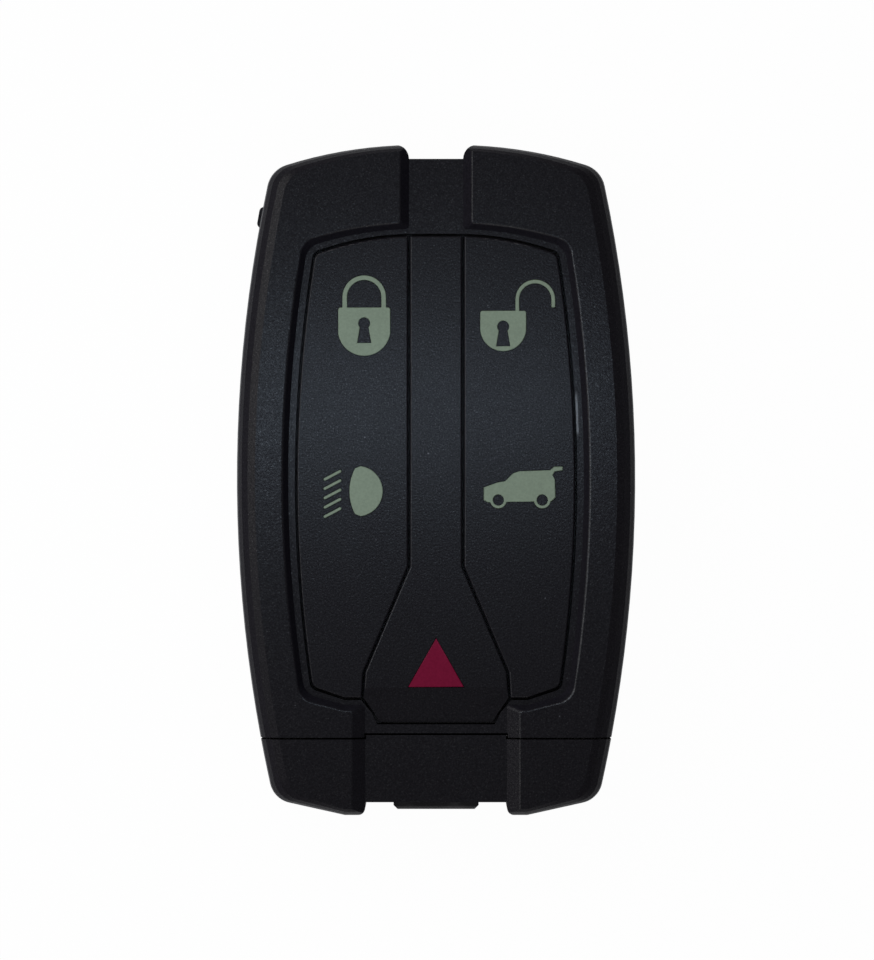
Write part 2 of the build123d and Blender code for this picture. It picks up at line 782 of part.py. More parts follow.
# Low-frequency antenna: a ferrite bobbin with its winding
with BuildPart() as antenna_core:
    for low, height, radius in (
        (board_height - antenna_height, antenna_flange, antenna_radius),
        (board_height - antenna_height, antenna_height, antenna_radius * antenna_waist_share),
        (board_height - antenna_flange, antenna_flange, antenna_radius),
    ):
        with BuildSketch(Plane.XY.offset(low)):
            with Locations(antenna_place):
                Circle(radius)
        extrude(amount=height)
finish(antenna_core, "antenna_core")

with BuildPart() as antenna_winding:
    with BuildSketch(Plane.XY.offset(board_height - antenna_height + antenna_flange)):
        with Locations(antenna_place):
            Circle(antenna_radius - antenna_winding_setback)
            Circle(antenna_radius * antenna_waist_share, mode=Mode.SUBTRACT)
    extrude(amount=antenna_height - 2 * antenna_flange)
finish(antenna_winding, "antenna_winding")

# Silicone mat over the board, with a dome over each switch
with BuildPart() as keypad_mat:
    extrude(bay_outline(board_top, board_inset).face(), amount=mat_rim_height)
    extrude(
        bay_outline(board_top, board_inset + mat_rim_width).face(),
        amount=mat_rim_height - mat_sheet, mode=Mode.SUBTRACT,
    )
    for x, y in switch_places:
        with BuildSketch(Plane.XY.offset(mat_top)) as dome_foot:
            with Locations((x, y)):
                Circle(dome_radius)
        with BuildSketch(Plane.XY.offset(dome_top)) as dome_head:
            with Locations((x, y)):
                Circle(dome_top_radius)
        loft()
finish(keypad_mat, "keypad_mat")

# Frame that carries the keys: a plate with windows, a rim and a saddle at each end of a pivot
saddle_offset = ear_gap + saddle_thickness / 2
rocker_saddles = [
    (side * (side_key_x + end * (rocker_half_span + saddle_offset)), rocker_y)
    for side in (-1, 1) for end in (-1, 1)
]
flap_saddles = [(side * (flap_half_span + saddle_offset), flap_y) for side in (-1, 1)]
saddle_top = pivot_level + pivot_radius + pivot_gap + saddle_cover

with BuildPart() as key_carrier:
    extrude(bay_outline(mat_top, fit_gap).face(), amount=ceiling - mat_top)
    extrude(
        bay_outline(carrier_top, fit_gap + carrier_rim_width).face(),
        amount=ceiling - carrier_top, mode=Mode.SUBTRACT,
    )
    with BuildSketch(Plane.XY.offset(carrier_top)):
        with Locations(*rocker_saddles, *flap_saddles):
            Rectangle(saddle_thickness, saddle_width)
    extrude(amount=saddle_top - carrier_top)
    with BuildSketch(Plane.YZ.offset(-fob_width / 2)):
        with Locations((rocker_y, pivot_level), (flap_y, pivot_level)):
            Circle(pivot_radius + pivot_gap)
    extrude(amount=fob_width, mode=Mode.SUBTRACT)
    with BuildSketch(Plane.XY.offset(mat_top)):
        with Locations(*switch_places):
            Circle(dome_radius + window_gap)
    extrude(amount=carrier_thickness, mode=Mode.SUBTRACT)
finish(key_carrier, "key_carrier")

# Icons, as closed outlines on the key face
lock_x = -switch_x + lock_shift
lock_top = upper_switch_y + lock_rise
unlock_x = switch_x + unlock_shift
unlock_top = upper_switch_y + unlock_rise
lamp_x = -switch_x + lamp_shift
lamp_y = lower_switch_y
ray_x = lamp_x + ray_shift
car_x = switch_x + car_shift
car_y = lower_switch_y - car_drop
wheel_y = lower_switch_y - wheel_drop
triangle_top = alarm_switch_y + triangle_rise
unlock_swing = unlock_swing_share * (side_key_outer_x - side_key_inner_x)


def padlock(body_width, top, straight, round_drop, centre_x):
    """A padlock's body with its keyhole: square shoulders and a round bottom."""
    half = body_width / 2
    side_foot = top - straight
    with BuildSketch() as body:
        with BuildLine():
            Line((centre_x - half, side_foot), (centre_x - half, top))
            Line((centre_x - half, top), (centre_x + half, top))
            Line((centre_x + half, top), (centre_x + half, side_foot))
            ThreePointArc(
                (centre_x + half, side_foot),
                (centre_x, side_foot - round_drop),
                (centre_x - half, side_foot),
            )
        make_face()
        fillet(body.vertices().group_by(Axis.Y)[-1], icon_corner_radius)
        with Locations((centre_x, top - keyhole_drop)):
            Circle(keyhole_radius, mode=Mode.SUBTRACT)
        with BuildLine():
            Polyline(
                (centre_x - keyhole_radius * keyhole_neck_share, top - keyhole_drop),
                (centre_x + keyhole_radius * keyhole_neck_share, top - keyhole_drop),
                (centre_x + keyhole_foot_width / 2, top - keyhole_drop - keyhole_length),
                (centre_x - keyhole_foot_width / 2, top - keyhole_drop - keyhole_length),
                close=True,
            )
        make_face(mode=Mode.SUBTRACT)
    return body.sketch


def shackle(centre, outer_radius, stroke, near_leg, far_leg):
    """A padlock's bow: half a ring with a leg at each end."""
    x, y = centre
    with BuildSketch() as bow:
        with Locations(centre):
            Circle(outer_radius)
            Circle(outer_radius - stroke, mode=Mode.SUBTRACT)
            Rectangle(
                2 * outer_radius, outer_radius, align=(Align.CENTER, Align.MAX), mode=Mode.SUBTRACT
            )
        with Locations((x - outer_radius, y)):
            Rectangle(stroke, near_leg, align=(Align.MIN, Align.MAX))
        with Locations((x + outer_radius, y)):
            Rectangle(stroke, far_leg, align=(Align.MAX, Align.MAX))
    return bow.sketch


with BuildSketch() as lock_outline:
    add(padlock(lock_width, lock_top, lock_straight, lock_round, lock_x))
    add(
        shackle(
            (lock_x, lock_top + lock_shackle_rise), lock_shackle_radius, lock_shackle_stroke,
            lock_shackle_rise + icon_corner_radius, lock_shackle_rise + icon_corner_radius,
        )
    )

with BuildSketch() as unlock_outline:
    add(padlock(unlock_width, unlock_top, unlock_straight, unlock_round, unlock_x))
    add(
        shackle(
            (unlock_x + unlock_swing, unlock_top + unlock_shackle_rise), unlock_shackle_radius,
            unlock_shackle_stroke, unlock_shackle_rise + icon_corner_radius, unlock_free_leg,
        )
    )

with BuildSketch() as headlamp_outline:
    with BuildLine():
        glass = ThreePointArc(
            (lamp_x, lamp_y + lamp_height / 2),
            (lamp_x + lamp_depth, lamp_y),
            (lamp_x, lamp_y - lamp_height / 2),
        )
        Line(glass @ 1, (lamp_x - lamp_back_depth / 2, lamp_y - lamp_back_height / 2))
        ThreePointArc(
            (lamp_x - lamp_back_depth / 2, lamp_y - lamp_back_height / 2),
            (lamp_x - lamp_back_depth, lamp_y),
            (lamp_x - lamp_back_depth / 2, lamp_y + lamp_back_height / 2),
        )
        Line((lamp_x - lamp_back_depth / 2, lamp_y + lamp_back_height / 2), glass @ 0)
    make_face()
    with Locations((ray_x, lamp_y + ray_lift)):
        with GridLocations(0, ray_pitch, 1, ray_count):
            SlotOverall(ray_length, ray_stroke, rotation=ray_tilt)

with BuildSketch() as tailgate_outline:
    with BuildLine():
        Polyline(
            *[(car_x + car_length * along, car_y + car_height * up) for along, up in car_shares],
            close=True,
        )
    make_face()
    fillet(tailgate_outline.vertices(), car_corner_radius)
    with Locations(*[(car_x + car_length * along, wheel_y) for along in wheel_shares]):
        Circle(wheel_radius)
        Circle(wheel_hole_radius, mode=Mode.SUBTRACT)

triangle_foot = triangle_top - triangle_height
triangle_outline = mirrored_sketch(
    0, (0, triangle_top), (triangle_width / 2, triangle_foot), (0, triangle_foot)
)

# Inlays, each in its own shallow pocket in a key
icons = (
    ("lock_icon", lock_outline.sketch),
    ("unlock_icon", unlock_outline.sketch),
    ("headlamp_icon", headlamp_outline.sketch),
    ("tailgate_icon", tailgate_outline.sketch),
    ("alarm_triangle", triangle_outline),
)
for name, outline in icons:
    with BuildPart() as icon:
        with BuildSketch(Plane.XY.offset(key_top - icon_depth)):
            add(outline)
        extrude(amount=icon_depth - icon_sink)
    finish(icon, name)


def icon_pockets(*outlines):
    """The pockets for some of the inlays, with their gap all round, as one cutting shape."""
    with BuildPart() as pockets:
        for outline in outlines:
            with BuildSketch(Plane.XY.offset(key_top - icon_depth)):
                for piece in outline.faces():
                    add(offset(piece, amount=icon_gap, mode=Mode.PRIVATE))
            extrude(amount=icon_depth + overrun)
    return pockets.part


def pivot_ears(centre_x, pivot_y, half_span, ears):
    """Ears under a key with a pivot stub on the outer face of each, as one solid set."""
    stub = ear_gap + saddle_thickness
    with BuildPart() as fittings:
        for side in (-1, 1):
            for outer in ears:
                with BuildSketch(Plane.YZ.offset(centre_x + side * outer)):
                    with Locations((pivot_y, pivot_level)):
                        Circle(ear_width / 2)
                        Rectangle(
                            ear_width, pivot_depth + key_thickness / 2, align=(Align.CENTER, Align.MIN)
                        )
                extrude(amount=-side * min(ear_thickness, outer))
        for side in (-1, 1):
            with BuildSketch(Plane.YZ.offset(centre_x + side * half_span)):
                with Locations((pivot_y, pivot_level)):
                    Circle(pivot_radius)
            extrude(amount=side * stub)
    return fittings.part


def key_posts(*places):
    """Posts under a key that press the domes of the mat."""
    with BuildPart() as posts:
        with BuildSketch(Plane.XY.offset(dome_top + dome_gap)):
            with Locations(*places):
                Circle(post_radius)
        extrude(amount=key_underside + key_thickness / 2 - dome_top - dome_gap)
    return posts.part


# Side keys: each rocks about a pivot midway between its two icons
for name, side, outlines in (
    ("left_key_panel", -1, (lock_outline.sketch, headlamp_outline.sketch)),
    ("right_key_panel", 1, (unlock_outline.sketch, tailgate_outline.sketch)),
):
    with BuildPart() as key:
        with BuildSketch(Plane.XY.offset(key_underside)):
            add(side_outlines.sketch.faces().sort_by(Axis.X)[0 if side < 0 else -1])
        extrude(amount=key_thickness)
        fillet(key.edges().group_by(Axis.Z)[-1], key_edge_radius)
        add(pivot_ears(side * side_key_x, rocker_y, rocker_half_span, (rocker_half_span,)))
        add(key_posts((side * switch_x, upper_switch_y), (side * switch_x, lower_switch_y)))
        add(icon_pockets(*outlines), mode=Mode.SUBTRACT)
    finish(key, name)

# Centre key: a long flap that tilts about its top end
ramp_y = bay_bottom_y + key_gap

with BuildPart() as centre_key_panel:
    with BuildSketch(Plane.XY.offset(key_underside)):
        add(centre_outline)
    extrude(amount=key_thickness)
    fillet(centre_key_panel.edges().group_by(Axis.Z)[-1], key_edge_radius)
    with BuildSketch(Plane.YZ.offset(-bell_width)) as ramp:
        with BuildLine():
            Polyline(
                (ramp_y + tail_ramp_length, key_top), (ramp_y - overrun, key_top + overrun),
                (ramp_y - overrun, key_top - tail_ramp_drop * (1 + overrun / tail_ramp_length)),
                close=True,
            )
        make_face()
    extrude(amount=2 * bell_width, mode=Mode.SUBTRACT)
    add(pivot_ears(0, flap_y, flap_half_span, (flap_half_span,)))
    add(key_posts((0, alarm_switch_y)))
    add(icon_pockets(triangle_outline), mode=Mode.SUBTRACT)
finish(centre_key_panel, "centre_key_panel")

# End cap: pockets for the blade's holder, a tunnel for the key ring and a seat for its bar
cap_top_y = seam_y - seam_gap / 2
bar_front_y = bottom_notch_y - bar_proud
bar_back_y = bar_front_y + bar_depth
mouth_floor = bar_seat + bar_height
mouth_back_y = bar_back_y + rear_mouth_length
tunnel_width = 2 * (-blade_x - holder_width / 2 - fit_gap - ring_web)
bar_width = tunnel_width + 2 * bar_end_seat
holder_level = tray_level - holder_base
pocket_depth = holder_length + 2 * fit_gap

with BuildPart() as end_cap:
    add(fob_form.part)
    add(seam_zone(-seam_gap / 2, 1, parting_height), mode=Mode.SUBTRACT)
    add(plain_seam_zone(-seam_gap / 2, 1, parting_height + fit_gap), mode=Mode.SUBTRACT)
    with BuildSketch(Plane.XY.offset(mouth_floor)):
        with Locations((0, mouth_back_y)):
            Rectangle(tunnel_width, fob_length / 2, align=(Align.CENTER, Align.MAX))
    extrude(amount=end_mouth_height, mode=Mode.SUBTRACT)
    with BuildSketch(Plane.XY.offset(-overrun)):
        with Locations((0, mouth_back_y)):
            Rectangle(tunnel_width, fob_length / 2, align=(Align.CENTER, Align.MAX))
    extrude(amount=overrun + mouth_floor + end_mouth_height / 2, mode=Mode.SUBTRACT)
    with BuildSketch(Plane.XY.offset(bar_seat)):
        with Locations((0, bar_back_y)):
            Rectangle(bar_width, bar_depth, align=(Align.CENTER, Align.MAX))
    extrude(amount=bar_height, mode=Mode.SUBTRACT)
    with BuildSketch(Plane.XY.offset(holder_level - fit_gap)):
        with Locations((blade_x, cap_top_y + overrun), (-blade_x, cap_top_y + overrun)):
            Rectangle(
                holder_width + 2 * fit_gap, pocket_depth + overrun, align=(Align.CENTER, Align.MAX)
            )
    extrude(amount=holder_height + 2 * fit_gap, mode=Mode.SUBTRACT)
    with BuildSketch(Plane.XZ.offset(-cap_top_y - peg_length)):
        with Locations((-peg_x, peg_height), (peg_x, peg_height)):
            Circle(peg_radius)
    extrude(amount=peg_length + holder_length / 2)
finish(end_cap, "end_cap")

# Steel bar across the end cap for a key ring
with BuildPart() as keyring_bar:
    with BuildSketch(Plane.XY.offset(bar_seat)):
        with Locations((0, bar_back_y)):
            Rectangle(bar_width, bar_depth, align=(Align.CENTER, Align.MAX))
    extrude(amount=bar_height)
    chamfer(keyring_bar.edges().filter_by(Axis.Z).group_by(Axis.Y)[0], bar_chamfer)
    fillet(keyring_bar.faces().sort_by(Axis.Y)[0].edges().filter_by(Axis.X), bar_edge_radius)
finish(keyring_bar, "keyring_bar")

# Key blade with a milled track on both faces
blade_top = blade_level + blade_thickness
blade_end_y = seam_y - blade_root
track_width = blade_width * track_width_share
track_sway = blade_width * track_sway_share
wave = (blade_tip_y - case_end_y) / track_waves
track_points = [
    (blade_x + track_sway * (-1) ** turn, case_end_y + wave * (turn + 1 / 2))
    for turn in range(track_waves)
]

with BuildPart() as key_blade:
    with BuildSketch(Plane.XY.offset(blade_level)):
        with Locations((blade_x, blade_end_y)):
            Rectangle(blade_width, blade_tip_y - blade_end_y, align=(Align.CENTER, Align.MIN))
    extrude(amount=blade_thickness)
    chamfer(key_blade.edges().filter_by(Axis.Z).group_by(Axis.Y)[-1], blade_tip_chamfer)
    chamfer(key_blade.faces().sort_by(Axis.Y)[-1].edges().filter_by(Axis.X), track_depth)
    with BuildSketch() as track:
        with BuildLine() as route:
            Spline(*track_points, (blade_x, blade_tip_y + overrun))
        trace(line_width=track_width)
    for low in (blade_top - track_depth, blade_level - overrun):
        depth = track_depth + overrun
        with BuildSketch(Plane.XY.offset(low)):
            add(track.sketch)
        extrude(amount=depth, mode=Mode.SUBTRACT)
    with BuildSketch(Plane.XY.offset(blade_top - nose_bite - nose_gap)):
        with Locations((nose_x, spring_y)):
            Rectangle(nose_width + 2 * nose_gap, nose_length + 2 * nose_gap)
    extrude(amount=overrun, mode=Mode.SUBTRACT)
    with BuildSketch(Plane.XY.offset(blade_level)):
        with Locations((blade_x, seam_y - pin_setback)):
            Circle(pin_radius)
    extrude(amount=blade_thickness, mode=Mode.SUBTRACT)
finish(key_blade, "key_blade")

# Holder moulded round the blade's root, and the pin through both
with BuildPart() as blade_holder:
    with BuildSketch(Plane.XY.offset(holder_level)):
        with Locations((blade_x, cap_top_y - fit_gap)):
            Rectangle(holder_width, holder_length, align=(Align.CENTER, Align.MAX))
    extrude(amount=holder_height)
    with BuildSketch(Plane.XY.offset(blade_level)):
        with Locations((blade_x, blade_end_y)):
            Rectangle(blade_width, blade_root + overrun, align=(Align.CENTER, Align.MIN))
    extrude(amount=blade_thickness, mode=Mode.SUBTRACT)
    with BuildSketch(Plane.XY.offset(holder_level)):
        with Locations((blade_x, seam_y - pin_setback)):
            Circle(pin_radius)
    extrude(amount=holder_height, mode=Mode.SUBTRACT)
finish(blade_holder, "blade_holder")

with BuildPart() as blade_pin:
    with BuildSketch(Plane.XY.offset(holder_level)):
        with Locations((blade_x, seam_y - pin_setback)):
            Circle(pin_radius)
    extrude(amount=holder_height)
finish(blade_pin, "blade_pin")
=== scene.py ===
import math

import bmesh
import bpy
import numpy as np
from bpy.props import FloatProperty, FloatVectorProperty, PointerProperty
from bpy.types import Operator, Panel, PropertyGroup
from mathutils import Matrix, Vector


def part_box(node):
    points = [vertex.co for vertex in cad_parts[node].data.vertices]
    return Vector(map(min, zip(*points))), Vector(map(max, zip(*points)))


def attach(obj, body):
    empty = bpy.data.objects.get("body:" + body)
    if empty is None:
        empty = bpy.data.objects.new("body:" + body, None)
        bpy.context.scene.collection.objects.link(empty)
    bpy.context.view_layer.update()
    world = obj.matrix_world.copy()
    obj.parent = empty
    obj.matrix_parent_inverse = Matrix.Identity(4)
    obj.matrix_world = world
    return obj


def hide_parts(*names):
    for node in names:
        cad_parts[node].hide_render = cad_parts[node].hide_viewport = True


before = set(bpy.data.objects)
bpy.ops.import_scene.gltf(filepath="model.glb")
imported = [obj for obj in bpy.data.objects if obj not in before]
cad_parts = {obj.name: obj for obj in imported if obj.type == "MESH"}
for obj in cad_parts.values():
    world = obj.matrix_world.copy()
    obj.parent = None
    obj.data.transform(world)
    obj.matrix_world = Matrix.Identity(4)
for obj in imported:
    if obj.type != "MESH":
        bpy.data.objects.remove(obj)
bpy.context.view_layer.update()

bl_info = {
    "name": "Car key fob looks",
    "version": (1, 0, 0),
    "blender": (4, 5, 0),
    "location": "View3D > Sidebar > Key fob",
    "description": "Dresses the packed car key fob with its moulded surfaces, materials and light",
    "category": "Object",
}

# Lengths are in metres, except where a name says MM

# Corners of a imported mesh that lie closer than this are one
MERGE_DISTANCE = 1e-6

# Rounding round an inlay: its steps, and how squarely a face looks up to count as the flat top
RIM_STEPS = 3
TOP_FACE_RISE = 0.9

# The antenna's coil; the waist is its bore's share of the outer radius
COIL_COLUMNS = 180
COIL_ROWS_PER_TURN = 8
COIL_WAIST_SHARE = 0.561
COIL_SHARP_ANGLE = math.radians(50)

# The coin cell; its profile's points are shares of its radius and of its thickness
CELL_COLUMNS = 180
CELL_PROFILE = (
    (0.3, 0.0), (0.855, 0.0), (0.878, 0.025), (0.888, 0.09), (0.888, 0.125), (0.918, 0.125),
    (0.918, 0.085), (0.928, 0.07), (0.948, 0.075), (0.958, 0.11), (0.985, 0.17), (0.998, 0.24),
    (1.0, 0.3), (1.0, 0.94), (0.994, 0.98), (0.98, 1.0), (0.86, 1.0), (0.85, 0.99), (0.3, 0.99),
)
CELL_SEAL_ROW = 4
CELL_SHARP_ANGLE = math.radians(30)

# The painted highlight along the right-hand ring, where its edge catches the sheen; it is glossier
# there too
STREAK_X = 0.01535
STREAK_Y = 0.0071
STREAK_LEAN = -0.036
STREAK_HALF_WIDTH = 0.00019
STREAK_HALF_LENGTH = 0.0025
STREAK_LOWEST = 0.0115
STREAK_HIGHLIGHT_GREY = (0.085, 0.087, 0.09)
STREAK_GLINT = 0.8

# Dust on the case, and how much paler its steep walls are painted than its faces, as painted light
# standing in for the soft light that reaches them
DUST_CELLS_PER_METRE = 220.0
DUST_GREY = (0.1, 0.1, 0.11)
WALL_PAINTED_LIGHT = (1.8, 1.8, 1.8)

# The circuit board: waves of its weave, its tracks and its areas of tracks
WEAVE_RADIANS_PER_METRE = 6283.0
TRACKS_PER_METRE = 2200.0
TRACK_SHARE = 0.45
BOARD_AREAS_PER_METRE = 210.0
MASK_OVER_LAMINATE = (0.008, 0.075, 0.03)
MASK_OVER_COPPER = (0.02, 0.15, 0.055)

# The bands of the enamelled wire
WIRE_RADIANS_PER_METRE = 21000.0
WIRE_SHADOW = (0.14, 0.045, 0.015)
WIRE_COPPER = (0.55, 0.2, 0.08)

# Colours of the parts inside
INNER_GREY = (0.03, 0.03, 0.032)
SEAL_BLACK = (0.02, 0.02, 0.022)
PLUNGER_IVORY = (0.5, 0.48, 0.42)
PASSIVE_TAN = (0.32, 0.24, 0.16)
FERRITE_GREY = (0.05, 0.05, 0.055)
TIN = (0.62, 0.62, 0.6)
NICKEL = (0.66, 0.64, 0.6)
SPRING_STEEL = (0.5, 0.5, 0.51)
NICKEL_SILVER = (0.62, 0.6, 0.56)

# The stage
WHITE = (1.0, 1.0, 1.0)
WORLD_TINT = (0.97, 0.93, 1.0)
SHEEN_TINT = (0.66, 0.82, 1.0)
FLOOR_WHITE = (0.95, 0.95, 0.95)
FLOOR_HALF_WIDTH = 3.0
FLOOR_HEIGHT = -0.0001
# Each lamp's name, power setting, place, the point it aims at, width and height, and colour
LAMPS = (
    ("main_lamp", "main_power", (-0.45, 0.25, 0.50), (0, 0, 0), (0.8, 0.6), WHITE),
    ("fill_lamp", "fill_power", (-0.10, -0.60, 0.45), (0, 0, 0), (0.5, 0.3), WHITE),
    (
        "sheen_lamp", "sheen_power", (-0.019, 0.009, 0.082), (-0.019, 0.009, 0), (0.08, 0.006),
        SHEEN_TINT,
    ),
)
# The camera looks straight down; the fob is widest at the widest height
CAMERA_X = 0.0001
WIDEST_HEIGHT = 0.0116
LENS_MM = 300.0
SENSOR_MM = 36.0
NEAREST_SEEN = 0.01

# Places of the sockets on Blender's colour mix node
MIX_FACTOR, MIX_FIRST, MIX_SECOND = 0, 6, 7
MIX_RESULT = 2

# The surface shader's inputs, by the short names that the materials use
SURFACE_INPUTS = {
    "colour": "Base Color", "roughness": "Roughness", "metallic": "Metallic", "normal": "Normal",
    "coat": "Coat Weight", "level": "Specular IOR Level",
}


class FobSizes(PropertyGroup):
    """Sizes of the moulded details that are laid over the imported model."""

    grain_size: FloatProperty(
        name="Grain size", description="Width of one bump of the moulded grain",
        default=0.00024, min=0.00005, max=0.002, unit="LENGTH",
    )
    inlay_rim: FloatProperty(
        name="Inlay rim", description="Width of the rounding round the edge of an inlaid icon",
        default=0.00009, min=0.00001, max=0.0002, unit="LENGTH",
    )
    inlay_drop: FloatProperty(
        name="Inlay drop", description="How far that rounding falls at an icon's edge",
        default=0.00008, min=0.00001, max=0.0003, unit="LENGTH",
    )
    wire_thickness: FloatProperty(
        name="Wire thickness", description="Thickness of the antenna's enamelled wire",
        default=0.000125, min=0.00005, max=0.0005, unit="LENGTH",
    )


class FobColours(PropertyGroup):
    """Colours of the fob's outer finishes."""

    case: FloatVectorProperty(
        name="Case", description="Black plastic of the covers, the cap and the keys",
        default=(0.0062, 0.0056, 0.0072), subtype="COLOR", size=3, min=0, max=1,
    )
    icon: FloatVectorProperty(
        name="Icons", description="Grey-green inlays of the four side icons",
        default=(0.232, 0.285, 0.205), subtype="COLOR", size=3, min=0, max=1,
    )
    alarm: FloatVectorProperty(
        name="Alarm triangle", description="Dark red inlay of the alarm key",
        default=(0.18, 0.0035, 0.029), subtype="COLOR", size=3, min=0, max=1,
    )


class FobLight(PropertyGroup):
    """Light and camera of the stage."""

    main_power: FloatProperty(
        name="Main lamp", description="Power of the wide lamp at the upper left",
        default=3.0, min=0, max=100, unit="POWER",
    )
    fill_power: FloatProperty(
        name="Fill lamp", description="Power of the lamp at the cap's end",
        default=0.7, min=0, max=100, unit="POWER",
    )
    sheen_power: FloatProperty(
        name="Sheen lamp",
        description="Power of the small lamp above, whose sheen lies over the icons",
        default=0.0150, min=0, max=10, unit="POWER",
    )
    world_strength: FloatProperty(
        name="World", description="Strength of the even light from all round",
        default=0.15, min=0, max=2, subtype="FACTOR",
    )
    floor_glow: FloatProperty(
        name="Floor glow", description="Share of the floor's white that no shadow dims",
        default=0.98, min=0, max=1, subtype="FACTOR",
    )
    mirrored_glow: FloatProperty(
        name="Mirrored glow", description="The part of that glow that glossy surfaces show",
        default=0.25, min=0, max=1, subtype="FACTOR",
    )
    view_height: FloatProperty(
        name="View height", description="Height of the picture where the fob is widest",
        default=0.10316, min=0.05, max=0.5, unit="LENGTH",
    )


class Shader:
    """A node material under construction: short ways to add nodes and join them."""

    def __init__(self, name):
        self.material = bpy.data.materials.new(name)
        self.material.use_nodes = True
        self.tree = self.material.node_tree
        self.tree.nodes.clear()
        self.out = self.tree.nodes.new("ShaderNodeOutputMaterial")
        self.place = self.tree.nodes.new("ShaderNodeTexCoord").outputs["Object"]

    def fill(self, socket, value):
        """Joins an input to another node's output, or sets its number, vector or colour."""
        if isinstance(value, bpy.types.NodeSocket):
            self.tree.links.new(value, socket)
        elif socket.type == "RGBA":
            socket.default_value = (*value, 1.0)
        else:
            socket.default_value = value

    def node(self, kind, inputs=None, **settings):
        """Adds a node, sets its properties and fills its inputs."""
        made = self.tree.nodes.new(kind)
        for key, value in settings.items():
            setattr(made, key, value)
        for key, value in (inputs or {}).items():
            self.fill(made.inputs[key], value)
        return made

    def axes(self, vector):
        """The X, Y and Z of a vector."""
        return self.node("ShaderNodeSeparateXYZ", {"Vector": vector}).outputs

    def noise(self, size, detail=2.0, roughness=0.5, stretch=None):
        """Noise whose features are about the given length."""
        place = self.place
        if stretch:
            place = self.node("ShaderNodeMapping", {"Vector": place, "Scale": stretch}).outputs[0]
        return self.node(
            "ShaderNodeTexNoise",
            {"Vector": place, "Scale": 1.0 / size, "Detail": detail, "Roughness": roughness},
        ).outputs["Fac"]

    def ramp(self, fac, *stops):
        """Values between (place, value) stops."""
        made = self.node("ShaderNodeValToRGB", {"Fac": fac})
        ramp = made.color_ramp
        while len(ramp.elements) < len(stops):
            ramp.elements.new(0.5)
        for element, (place, value) in zip(ramp.elements, stops):
            element.position = place
            element.color = (value, value, value, 1.0)
        return made.outputs["Color"]

    def blend(self, kind, fac, first, second):
        """Mixes two colours."""
        made = self.node("ShaderNodeMix", data_type="RGBA", blend_type=kind)
        for index, value in ((MIX_FACTOR, fac), (MIX_FIRST, first), (MIX_SECOND, second)):
            self.fill(made.inputs[index], value)
        return made.outputs[MIX_RESULT]

    def math(self, kind, *values):
        """A math node."""
        return self.node("ShaderNodeMath", dict(enumerate(values)), operation=kind).outputs[0]

    def between(self, fac, low, high):
        """A value that runs from low to high as the factor goes from 0 to 1."""
        return self.math("MULTIPLY_ADD", fac, high - low, low)

    def bump(self, height, depth, strength=1.0):
        """A bump of the given depth."""
        inputs = {"Height": height, "Distance": depth, "Strength": strength}
        return self.node("ShaderNodeBump", inputs).outputs["Normal"]

    def finish(self, **inputs):
        """Adds the surface shader and returns the material."""
        named = {SURFACE_INPUTS[key]: value for key, value in inputs.items()}
        shader = self.node("ShaderNodeBsdfPrincipled", named)
        self.tree.links.new(shader.outputs["BSDF"], self.out.inputs["Surface"])
        return self.material


def shade(colour, factor):
    """A colour made darker or paler."""
    return tuple(min(1.0, part * factor) for part in colour)


def ring_highlight_mask(s):
    """A short painted highlight along the right-hand ring, where its edge catches the sheen, strong
    along its middle, broken by grain.

    It is one where X is within the streak's half width of a line that leans with Y, and fades to
    its ends. The rear cover below it has none.
    """
    place = s.axes(s.place)
    line = s.math("MULTIPLY_ADD", place["Y"], STREAK_LEAN, STREAK_X)
    aside = s.math("ABSOLUTE", s.math("SUBTRACT", place["X"], line))
    ahead = s.math("ABSOLUTE", s.math("SUBTRACT", place["Y"], STREAK_Y))
    width = s.ramp(s.math("DIVIDE", aside, STREAK_HALF_WIDTH), (0.35, 1.0), (1.0, 0.0))
    length = s.ramp(s.math("DIVIDE", ahead, STREAK_HALF_LENGTH), (0.7, 1.0), (1.0, 0.0))
    broken = s.ramp(s.noise(size=0.0007), (0.3, 0.55), (0.55, 1.0))
    in_front = s.math("GREATER_THAN", place["Z"], STREAK_LOWEST)
    return s.math(
        "MULTIPLY", s.math("MULTIPLY", width, length), s.math("MULTIPLY", broken, in_front),
    )


